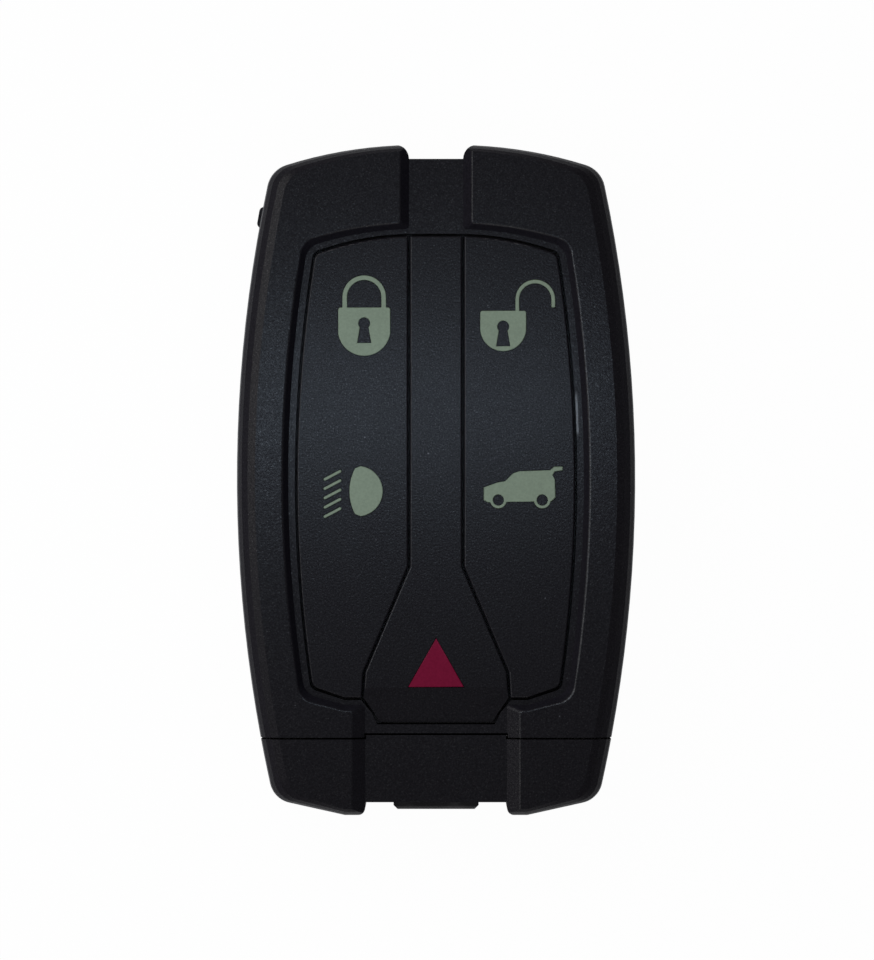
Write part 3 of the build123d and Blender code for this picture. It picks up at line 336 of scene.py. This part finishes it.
def grained_plastic(name, colour, grain):
    """Black moulded plastic: a fine spark-eroded grain whose facets glint, dust, uneven gloss.

    Faces that fingers reach are rubbed smoother than the steep walls, which keep the mould's matt
    finish, and the rounded edges between the two are worn a little glossier still. The steep walls
    are also painted paler, as painted light, and a painted highlight lies along the right-hand
    ring.
    """
    s = Shader(name)
    normal = s.node("ShaderNodeNewGeometry").outputs["Normal"]
    upright = s.math("ABSOLUTE", s.axes(normal)["Z"])
    # One on faces that look up, which are rubbed glossier; none on steep walls, which are matt and
    # painted paler as painted light
    rubbed = s.ramp(upright, (0.7, 0.0), (0.9, 1.0))
    worn = s.ramp(upright, (0.8, 0.0), (0.88, 1.0), (0.94, 1.0), (0.975, 0.0))
    grains = s.noise(grain, detail=1.0)
    facets = s.noise(grain * 0.6, detail=1.0)
    patches = s.noise(size=0.012, detail=4.0)
    painted_highlight = ring_highlight_mask(s)

    base = s.ramp(grains, (0.35, 0.0), (0.65, 1.0))
    base = s.blend("MIX", base, shade(colour, 0.85), shade(colour, 1.2))
    specks = s.node("ShaderNodeTexVoronoi", {"Vector": s.place, "Scale": DUST_CELLS_PER_METRE})
    dust = s.ramp(specks.outputs["Distance"], (0.014, 1.0), (0.022, 0.0))
    base = s.blend("MIX", dust, base, DUST_GREY)
    # Painted light: the steep walls are painted paler than the faces, standing in for the soft
    # light that reaches them
    base = s.blend("MIX", rubbed, s.blend("MULTIPLY", 1.0, base, WALL_PAINTED_LIGHT), base)
    # Painted highlight: paler grey along the ring's edge, where it catches the sheen
    base = s.blend("MIX", painted_highlight, base, STREAK_HIGHLIGHT_GREY)

    glint = s.ramp(facets, (0.3, 0.13), (0.62, 0.26), (0.72, 0.44), (0.8, 0.75))
    glint = s.math("MULTIPLY", glint, s.between(rubbed, 0.18, 1.0))
    glint = s.math("MULTIPLY", glint, s.between(worn, 1.0, 1.3))
    glint = s.math("MAXIMUM", glint, s.math("MULTIPLY", painted_highlight, STREAK_GLINT))
    rough = s.math("ADD", s.math("MULTIPLY", patches, 0.06), s.between(grains, 0.27, 0.35))
    return s.finish(
        colour=base, roughness=rough, level=glint, normal=s.bump(grains, depth=0.000018),
    )


def plain_plastic(name, colour, roughness=0.45, texture=0.0006):
    """Plain moulded plastic with faint flow marks and a soft texture."""
    s = Shader(name)
    flow = s.noise(texture * 8, detail=3.0, stretch=(1.0, 0.35, 1.0))
    fine = s.noise(texture, detail=3.0)
    return s.finish(
        colour=s.blend("MIX", flow, shade(colour, 0.86), colour),
        roughness=s.between(fine, roughness - 0.1, roughness + 0.1),
        normal=s.bump(fine, depth=0.00001, strength=0.6),
    )


def inlay_plastic(name, colour):
    """Moulded inlay: satin, a little cloudy, with fine speckle."""
    s = Shader(name)
    fine = s.noise(size=0.00025, detail=3.0)
    wear = s.ramp(s.noise(size=0.0018, detail=4.0), (0.3, 0.85), (0.7, 1.0))
    speckle = s.ramp(fine, (0.35, 0.0), (0.65, 1.0))
    base = s.blend("MIX", speckle, shade(colour, 0.92), shade(colour, 1.04))
    return s.finish(
        colour=s.blend("MULTIPLY", 0.3, base, wear), roughness=s.between(fine, 0.32, 0.48),
        level=0.12, normal=s.bump(fine, depth=0.00001, strength=0.7),
    )


def silicone_rubber(name):
    """Grey silicone rubber with a powdery bloom."""
    s = Shader(name)
    bloom = s.noise(size=0.004, detail=4.0)
    return s.finish(
        colour=s.blend("MIX", bloom, (0.105, 0.105, 0.11), (0.15, 0.15, 0.155)),
        roughness=s.between(bloom, 0.6, 0.75),
        normal=s.bump(s.noise(size=0.0002), depth=0.00001, strength=0.5),
    )


def board_laminate(name):
    """Green solder mask over a woven laminate, with the tracks just showing through.

    The board is split into areas, and in each one the tracks run in parallel, along X or along Y,
    or there is only ground copper.
    """
    s = Shader(name)
    place = s.axes(s.place)
    weave_x = s.math("SINE", s.math("MULTIPLY", place["X"], WEAVE_RADIANS_PER_METRE))
    weave_y = s.math("SINE", s.math("MULTIPLY", place["Y"], WEAVE_RADIANS_PER_METRE))
    weave = s.math("MULTIPLY", weave_x, weave_y)
    areas = s.node(
        "ShaderNodeTexVoronoi",
        {"Vector": s.place, "Scale": BOARD_AREAS_PER_METRE, "Randomness": 0.8},
        distance="MANHATTAN",
    )
    area = s.node("ShaderNodeSeparateColor", {"Color": areas.outputs["Color"]}).outputs
    row_x = s.math("FRACT", s.math("MULTIPLY", place["X"], TRACKS_PER_METRE))
    row_y = s.math("FRACT", s.math("MULTIPLY", place["Y"], TRACKS_PER_METRE))
    across = s.math("LESS_THAN", row_x, TRACK_SHARE)
    along = s.math("LESS_THAN", row_y, TRACK_SHARE)
    runs_along = s.math("GREATER_THAN", area["Red"], 0.5)
    is_ground = s.math("GREATER_THAN", area["Green"], 0.7)
    turned = s.math("MULTIPLY", runs_along, s.math("SUBTRACT", along, across))
    tracks = s.math("MAXIMUM", s.math("ADD", across, turned), is_ground)
    height = s.math("ADD", s.math("MULTIPLY", weave, 0.15), tracks)
    return s.finish(
        colour=s.blend("MIX", tracks, MASK_OVER_LAMINATE, MASK_OVER_COPPER),
        roughness=s.between(weave, 0.25, 0.29), coat=0.3,
        normal=s.bump(height, depth=0.00002, strength=0.6),
    )


def bright_metal(name, colour, roughness):
    """Sheet or milled metal: fine lines along X and cloudy handling marks."""
    s = Shader(name)
    lines = s.noise(size=0.002, detail=5.0, roughness=0.7, stretch=(1.0, 12.0, 1.0))
    clouds = s.noise(size=0.006, detail=4.0)
    rough = s.between(clouds, roughness - 0.12, roughness)
    return s.finish(
        colour=s.blend("MIX", clouds, shade(colour, 0.8), colour), metallic=1.0,
        roughness=s.math("ADD", s.math("MULTIPLY", lines, 0.18), rough),
        normal=s.bump(lines, depth=0.000008, strength=0.7),
    )


def coated_steel(name):
    """Black coated steel, rubbed paler where a ring wears it."""
    s = Shader(name)
    rub = s.noise(size=0.0015, detail=5.0, stretch=(0.4, 1.0, 1.0))
    bare = s.ramp(rub, (0.55, 0.0), (0.75, 1.0))
    return s.finish(
        colour=s.blend("MIX", bare, (0.02, 0.02, 0.022), (0.07, 0.07, 0.073)),
        roughness=s.between(rub, 0.3, 0.5),
        normal=s.bump(s.noise(size=0.0002), depth=0.00001, strength=0.6),
    )


def enamelled_wire(name):
    """Turns of fine enamelled wire laid side by side."""
    s = Shader(name)
    height = s.math("MULTIPLY", s.axes(s.place)["Z"], WIRE_RADIANS_PER_METRE)
    turns = s.math("ABSOLUTE", s.math("SINE", height))
    return s.finish(
        colour=s.blend("MIX", turns, WIRE_SHADOW, WIRE_COPPER), metallic=0.7,
        roughness=s.between(turns, 0.25, 0.35), coat=0.4, normal=s.bump(turns, depth=0.00004),
    )


def fired_ceramic(name, colour):
    """Pressed and fired ceramic or ferrite with fine pits."""
    s = Shader(name)
    pits = s.noise(size=0.0002, detail=4.0, roughness=0.7)
    return s.finish(
        colour=s.blend("MIX", pits, shade(colour, 0.7), colour),
        roughness=s.between(pits, 0.5, 0.7), normal=s.bump(pits, depth=0.00002, strength=0.8),
    )


def chip_resin(name):
    """Black epoxy of a chip, with its matt moulded face."""
    s = Shader(name)
    fine = s.noise(size=0.00012)
    return s.finish(
        colour=s.blend("MIX", fine, (0.012, 0.012, 0.013), (0.024, 0.024, 0.026)),
        roughness=s.between(fine, 0.5, 0.7), normal=s.bump(fine, depth=0.00001, strength=0.7),
    )


def joined_mesh(node):
    """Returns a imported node's points and triangles, with its loose corners merged."""
    work = bmesh.new()
    work.from_mesh(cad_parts[node].data)
    bmesh.ops.remove_doubles(work, verts=work.verts, dist=MERGE_DISTANCE)
    joined = bpy.data.meshes.new("joined")
    work.to_mesh(joined)
    work.free()
    points = np.empty(3 * len(joined.vertices), np.float32)
    joined.vertices.foreach_get("co", points)
    joined.calc_loop_triangles()
    faces = np.empty(3 * len(joined.loop_triangles), np.int32)
    joined.loop_triangles.foreach_get("vertices", faces)
    bpy.data.meshes.remove(joined)
    return points.reshape(-1, 3).astype(float), faces.reshape(-1, 3).astype(int)


def rounded_inlay(node, rim, drop):
    """Rounds a flat-topped inlay's upper edge; gives points, faces and which faces are rounding.

    The top's outline is drawn in by rim * (1 - sin t) and lowered by drop * (1 - cos t), with t
    going from 0 at the flat top to a quarter turn at the old outline, which ends up lower by the
    whole drop. A corner moves along the sum of its two edges' outward normals, divided by half
    that sum's square.
    """
    points, faces = joined_mesh(node)
    count = len(points)
    corners = points[faces]
    normals = np.cross(corners[:, 1] - corners[:, 0], corners[:, 2] - corners[:, 0])
    is_top = normals[:, 2] > TOP_FACE_RISE * np.linalg.norm(normals, axis=1)
    top = faces[is_top]
    edges = np.concatenate([top[:, [0, 1]], top[:, [1, 2]], top[:, [2, 0]]])
    is_rim = ~np.isin(edges[:, 0] * count + edges[:, 1], edges[:, 1] * count + edges[:, 0])
    start, end = edges[is_rim].T
    along = points[end] - points[start]
    outward = np.stack([along[:, 1], -along[:, 0]], 1)
    outward /= np.linalg.norm(outward, axis=1, keepdims=True)
    push = np.zeros((count, 2))
    np.add.at(push, start, outward)
    np.add.at(push, end, outward)
    square = (push ** 2).sum(1)
    on_rim = square > 0
    push[on_rim] *= (2.0 / square[on_rim])[:, None]
    rim_ids = np.flatnonzero(on_rim)
    place = np.zeros(count, int)
    place[rim_ids] = np.arange(len(rim_ids))

    turns = np.linspace(0, np.pi / 2, RIM_STEPS + 1)[:-1]
    rings = np.repeat(points[rim_ids][None], RIM_STEPS, axis=0)
    rings[..., :2] -= (rim * (1 - np.sin(turns)))[:, None, None] * push[rim_ids][None]
    rings[..., 2] -= (drop * (1 - np.cos(turns)))[:, None]
    lowered = points.copy()
    lowered[rim_ids, 2] -= drop
    strips = []
    for step in range(RIM_STEPS):
        upper = count + step * len(rim_ids)
        lower = upper + len(rim_ids)
        above_start, above_end = upper + place[start], upper + place[end]
        below_start, below_end = lower + place[start], lower + place[end]
        if step == RIM_STEPS - 1:
            below_start, below_end = start, end
        strips.append(np.stack([above_start, below_start, below_end], 1))
        strips.append(np.stack([above_start, below_end, above_end], 1))
    strips = np.concatenate(strips)
    flat_top = np.where(on_rim[top], count + place[top], top)
    all_points = np.concatenate([lowered, rings.reshape(-1, 3)])
    all_faces = np.concatenate([faces[~is_top], flat_top, strips])
    is_round = np.arange(len(all_faces)) >= len(all_faces) - len(strips)
    return all_points, all_faces, is_round


def ring_faces(rows, columns, closed):
    """Quads of a grid that wraps round along its columns, and where closed along its rows too."""
    index = np.arange(rows * columns).reshape(rows, columns)
    here = index if closed else index[:-1]
    above = np.roll(index, -1, 0) if closed else index[1:]
    return np.stack([here, np.roll(here, -1, 1), np.roll(above, -1, 1), above], -1).reshape(-1, 4)


def round_points(middle, radius, height, columns):
    """Points at each radius and height round the upright line through the middle.

    X and Y are the middle's plus radius * cos t and radius * sin t, with t going once round.
    """
    angle = np.linspace(0, 2 * np.pi, columns, endpoint=False)
    points = np.empty((len(height), columns, 3))
    points[..., 0] = middle[0] + radius * np.cos(angle)
    points[..., 1] = middle[1] + radius * np.sin(angle)
    points[..., 2] = height[:, None]
    return points.reshape(-1, 3)


def wound_coil(low, high, waist, wire):
    """A coil of round wire: its outside is a grid of height and angle.

    The radius is outer - wire / 2 + wire / 2 * sqrt(1 - u * u), where u runs from -1 to 1 across
    each turn, and a turn climbs by one wire's thickness as the angle goes once round. The ends
    and the bore are plain.
    """
    outer = (high[0] - low[0]) / 2
    angle = np.linspace(0, 2 * np.pi, COIL_COLUMNS, endpoint=False)
    rows = int(round((high[2] - low[2]) / wire)) * COIL_ROWS_PER_TURN
    height = np.linspace(low[2], high[2], rows)
    phase = (height[:, None] - low[2]) / wire - angle[None] / (2 * np.pi)
    across = 2 * (phase - np.floor(phase)) - 1
    radius = outer - wire / 2 + wire / 2 * np.sqrt(np.clip(1 - across ** 2, 0, 1))
    radius = np.concatenate([radius, np.full((2, COIL_COLUMNS), waist)])
    height = np.concatenate([height, [high[2], low[2]]])
    points = round_points((low + high) / 2, radius, height, COIL_COLUMNS)
    return points, ring_faces(rows + 2, COIL_COLUMNS, True)


def turned_cell(low, high):
    """A coin cell as a profile of radius and height carried round the line through its middle.

    The profile runs out over the negative cap, over its sealing ring, round the crimped rim, up
    the can's side and in over the top, and its two ends close in a point on the axis.
    """
    middle = (low + high) / 2
    radius_share, height_share = np.array(CELL_PROFILE).T
    radius = radius_share * (high[0] - low[0]) / 2
    height = low[2] + height_share * (high[2] - low[2])
    rows = len(CELL_PROFILE)
    points = round_points(middle, radius[:, None], height, CELL_COLUMNS)
    faces = ring_faces(rows, CELL_COLUMNS, False)
    column = np.arange(CELL_COLUMNS)
    nearer = np.roll(column, -1)
    last = (rows - 1) * CELL_COLUMNS
    pole = rows * CELL_COLUMNS
    bottom = np.stack([nearer, column, np.full(CELL_COLUMNS, pole)], 1)
    top = np.stack([last + column, last + nearer, np.full(CELL_COLUMNS, pole + 1)], 1)
    poles = np.array([[middle[0], middle[1], height[0]], [middle[0], middle[1], height[-1]]])
    return np.concatenate([points, poles]), faces.tolist() + bottom.tolist() + top.tolist()


def add_piece(name, points, faces, materials, body, node):
    """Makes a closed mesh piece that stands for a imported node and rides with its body."""
    mesh = bpy.data.meshes.new(name)
    mesh.from_pydata(points, [], faces)
    for material in materials:
        mesh.materials.append(material)
    piece = bpy.data.objects.new(name, mesh)
    bpy.context.scene.collection.objects.link(piece)
    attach(piece, body)
    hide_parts(node)
    return piece


def set_material(names, material):
    """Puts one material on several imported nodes."""
    for name in names:
        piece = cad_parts[name]
        piece.data.materials.clear()
        piece.data.materials.append(material)


def light_world(scene):
    """Gives the scene its even light from all round."""
    world = bpy.data.worlds.new("studio")
    scene.world = world
    world.use_nodes = True
    background = world.node_tree.nodes["Background"]
    background.inputs["Color"].default_value = (*WORLD_TINT, 1.0)
    background.inputs["Strength"].default_value = scene.fob_light.world_strength


def lay_floor(scene):
    """Lays the white floor, which glows for the camera and keeps the fob's faint shadow."""
    light = scene.fob_light
    edge = FLOOR_HALF_WIDTH
    corners = [(-edge, -edge), (edge, -edge), (edge, edge), (-edge, edge)]
    mesh = bpy.data.meshes.new("floor")
    mesh.from_pydata([(x, y, FLOOR_HEIGHT) for x, y in corners], [], [(0, 1, 2, 3)])
    floor = bpy.data.objects.new("floor", mesh)
    scene.collection.objects.link(floor)
    s = Shader("floor_white")
    path = s.node("ShaderNodeLightPath")
    mirrored = s.math("MAXIMUM", path.outputs["Is Glossy Ray"], path.outputs["Is Transmission Ray"])
    mirrored = s.math("MULTIPLY", mirrored, light.mirrored_glow)
    seen = s.math("MAXIMUM", path.outputs["Is Camera Ray"], mirrored)
    share = s.math("MULTIPLY", seen, light.floor_glow)
    flat = s.node("ShaderNodeBsdfDiffuse", {"Color": FLOOR_WHITE})
    glow = s.node("ShaderNodeEmission", {"Color": WHITE, "Strength": 1.0})
    mix = s.node("ShaderNodeMixShader", {0: share, 1: flat.outputs[0], 2: glow.outputs[0]})
    s.tree.links.new(mix.outputs[0], s.out.inputs["Surface"])
    mesh.materials.append(s.material)


def hang_lamp(scene, name, power, place, aim, size, tint):
    """Hangs a rectangular lamp that the camera can't see, turned to the point it lights."""
    lamp = bpy.data.lights.new(name, "AREA")
    lamp.shape = "RECTANGLE"
    lamp.size, lamp.size_y = size
    lamp.energy = power
    lamp.color = tint
    made = bpy.data.objects.new(name, lamp)
    scene.collection.objects.link(made)
    made.location = place
    direction = Vector(aim) - made.location
    made.rotation_euler = direction.to_track_quat("-Z", "Y").to_euler()
    made.visible_camera = False


def set_camera(scene):
    """Sets the camera straight above the fob, as far off as the view height asks for."""
    camera = bpy.data.cameras.new("camera")
    camera.lens = LENS_MM
    camera.sensor_fit = "VERTICAL"
    camera.sensor_height = SENSOR_MM
    camera.clip_start = NEAREST_SEEN
    made = bpy.data.objects.new("camera", camera)
    scene.collection.objects.link(made)
    distance = scene.fob_light.view_height * LENS_MM / SENSOR_MM
    made.location = (CAMERA_X, 0.0, WIDEST_HEIGHT + distance)
    scene.camera = made


class FOB_OT_stage(Operator):
    """Builds the floor, the lamps, the world and the camera."""

    bl_idname = "fob.stage"
    bl_label = "Stage"

    def execute(self, context):
        scene = context.scene
        scene.view_settings.view_transform = "Standard"
        light_world(scene)
        lay_floor(scene)
        for name, power, place, aim, size, tint in LAMPS:
            hang_lamp(scene, name, getattr(scene.fob_light, power), place, aim, size, tint)
        set_camera(scene)
        return {"FINISHED"}


class FOB_OT_case(Operator):
    """Dresses the covers, the end cap and the keys in grained black plastic."""

    bl_idname = "fob.case"
    bl_label = "Case and keys"

    def execute(self, context):
        scene = context.scene
        black = grained_plastic(
            "case_black", tuple(scene.fob_colours.case), scene.fob_sizes.grain_size,
        )
        set_material(("front_cover", "rear_cover", "end_cap"), black)
        set_material(("left_key_panel", "right_key_panel", "centre_key_panel"), black)
        return {"FINISHED"}


class FOB_OT_icons(Operator):
    """Rounds and colours the inlaid icons."""

    bl_idname = "fob.icons"
    bl_label = "Icons"

    def execute(self, context):
        colours = context.scene.fob_colours
        sizes = context.scene.fob_sizes
        green = inlay_plastic("icon_grey_green", tuple(colours.icon))
        red = inlay_plastic("alarm_red", tuple(colours.alarm))
        for node, body, slot, material in (
            ("lock_icon", "left_key", "icon_plastic", green),
            ("headlamp_icon", "left_key", "icon_plastic", green),
            ("unlock_icon", "right_key", "icon_plastic", green),
            ("tailgate_icon", "right_key", "icon_plastic", green),
            ("alarm_triangle", "centre_key", "alarm_plastic", red),
        ):
            points, faces, is_round = rounded_inlay(node, sizes.inlay_rim, sizes.inlay_drop)
            piece = add_piece(node + "_inlay", points, faces, (material,), body, node)
            piece.data.polygons.foreach_set("use_smooth", is_round)
        return {"FINISHED"}


class FOB_OT_inner_parts(Operator):
    """Finishes everything inside the case and on the cap's key blade."""

    bl_idname = "fob.inner_parts"
    bl_label = "Inner parts"

    def execute(self, context):
        nickel = bright_metal("nickel_plate", NICKEL, 0.3)
        spring_steel = bright_metal("spring_steel", SPRING_STEEL, 0.35)
        plungers = [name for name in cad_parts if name.endswith("_plunger")]
        for names, material in (
            (
                ("key_carrier", "inner_tray", "blade_holder"),
                plain_plastic("inner_grey", INNER_GREY),
            ),
            (("keypad_mat",), silicone_rubber("silicone_grey")),
            (("circuit_board",), board_laminate("board_green")),
            (("switch_bodies",), bright_metal("switch_tin", TIN, 0.35)),
            (plungers, plain_plastic("plunger_ivory", PLUNGER_IVORY, 0.4, 0.0002)),
            (("controller_chip", "radio_chip"), chip_resin("chip_black")),
            (("passives",), fired_ceramic("passive_tan", PASSIVE_TAN)),
            (("antenna_core",), fired_ceramic("ferrite_grey", FERRITE_GREY)),
            (("positive_contact", "negative_contact", "crystal"), nickel),
            (("blade_spring", "blade_pin"), spring_steel),
            (("key_blade",), bright_metal("blade_nickel_silver", NICKEL_SILVER, 0.32)),
            (("keyring_bar",), coated_steel("bar_black")),
        ):
            set_material(names, material)

        low, high = (np.array(corner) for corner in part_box("antenna_winding"))
        waist = COIL_WAIST_SHARE * (high[0] - low[0]) / 2
        points, faces = wound_coil(low, high, waist, context.scene.fob_sizes.wire_thickness)
        wire = enamelled_wire("winding_copper")
        coil = add_piece(
            "antenna_turns", points, faces, (wire,), "case", "antenna_winding",
        )
        coil.data.shade_smooth()
        coil.data.set_sharp_from_angle(angle=COIL_SHARP_ANGLE)

        low, high = (np.array(corner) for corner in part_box("coin_cell"))
        points, faces = turned_cell(low, high)
        seal = plain_plastic("seal_black", SEAL_BLACK, 0.5, 0.0003)
        cell = add_piece(
            "cell_can", points, faces, (nickel, seal), "case", "coin_cell",
        )
        cell.data.shade_smooth()
        cell.data.set_sharp_from_angle(angle=CELL_SHARP_ANGLE)
        rows = np.arange(len(cell.data.polygons)) // CELL_COLUMNS
        is_seal = (rows == CELL_SEAL_ROW).astype(np.int32)
        cell.data.polygons.foreach_set("material_index", is_seal)
        return {"FINISHED"}


class FOB_PT_sidebar(Panel):
    """Lists the fob's steps and their sizes and colours."""

    bl_idname = "FOB_PT_sidebar"
    bl_label = "Key fob"
    bl_space_type = "VIEW_3D"
    bl_region_type = "UI"
    bl_category = "Key fob"

    def draw(self, context):
        layout = self.layout
        scene = context.scene
        for group in (scene.fob_sizes, scene.fob_colours, scene.fob_light):
            box = layout.box()
            for key in group.bl_rna.properties.keys():
                if key not in {"rna_type", "name"}:
                    box.prop(group, key)
        for step in STEPS:
            layout.operator(step.bl_idname)


STEPS = (FOB_OT_stage, FOB_OT_case, FOB_OT_icons, FOB_OT_inner_parts)
GROUPS = (("fob_sizes", FobSizes), ("fob_colours", FobColours), ("fob_light", FobLight))


def register():
    """Adds the fob's settings, steps and panel to Blender."""
    for _, group in GROUPS:
        bpy.utils.register_class(group)
    for name, group in GROUPS:
        setattr(bpy.types.Scene, name, PointerProperty(type=group))
    for step in STEPS:
        bpy.utils.register_class(step)
    bpy.utils.register_class(FOB_PT_sidebar)


def unregister():
    """Takes them out again."""
    bpy.utils.unregister_class(FOB_PT_sidebar)
    for step in reversed(STEPS):
        bpy.utils.unregister_class(step)
    for name, group in reversed(GROUPS):
        delattr(bpy.types.Scene, name)
        bpy.utils.unregister_class(group)


def main():
    """Registers everything and runs the steps in order."""
    register()
    for name in ("stage", "case", "icons", "inner_parts"):
        getattr(bpy.ops.fob, name)()


if __name__ == "__main__":
    main()
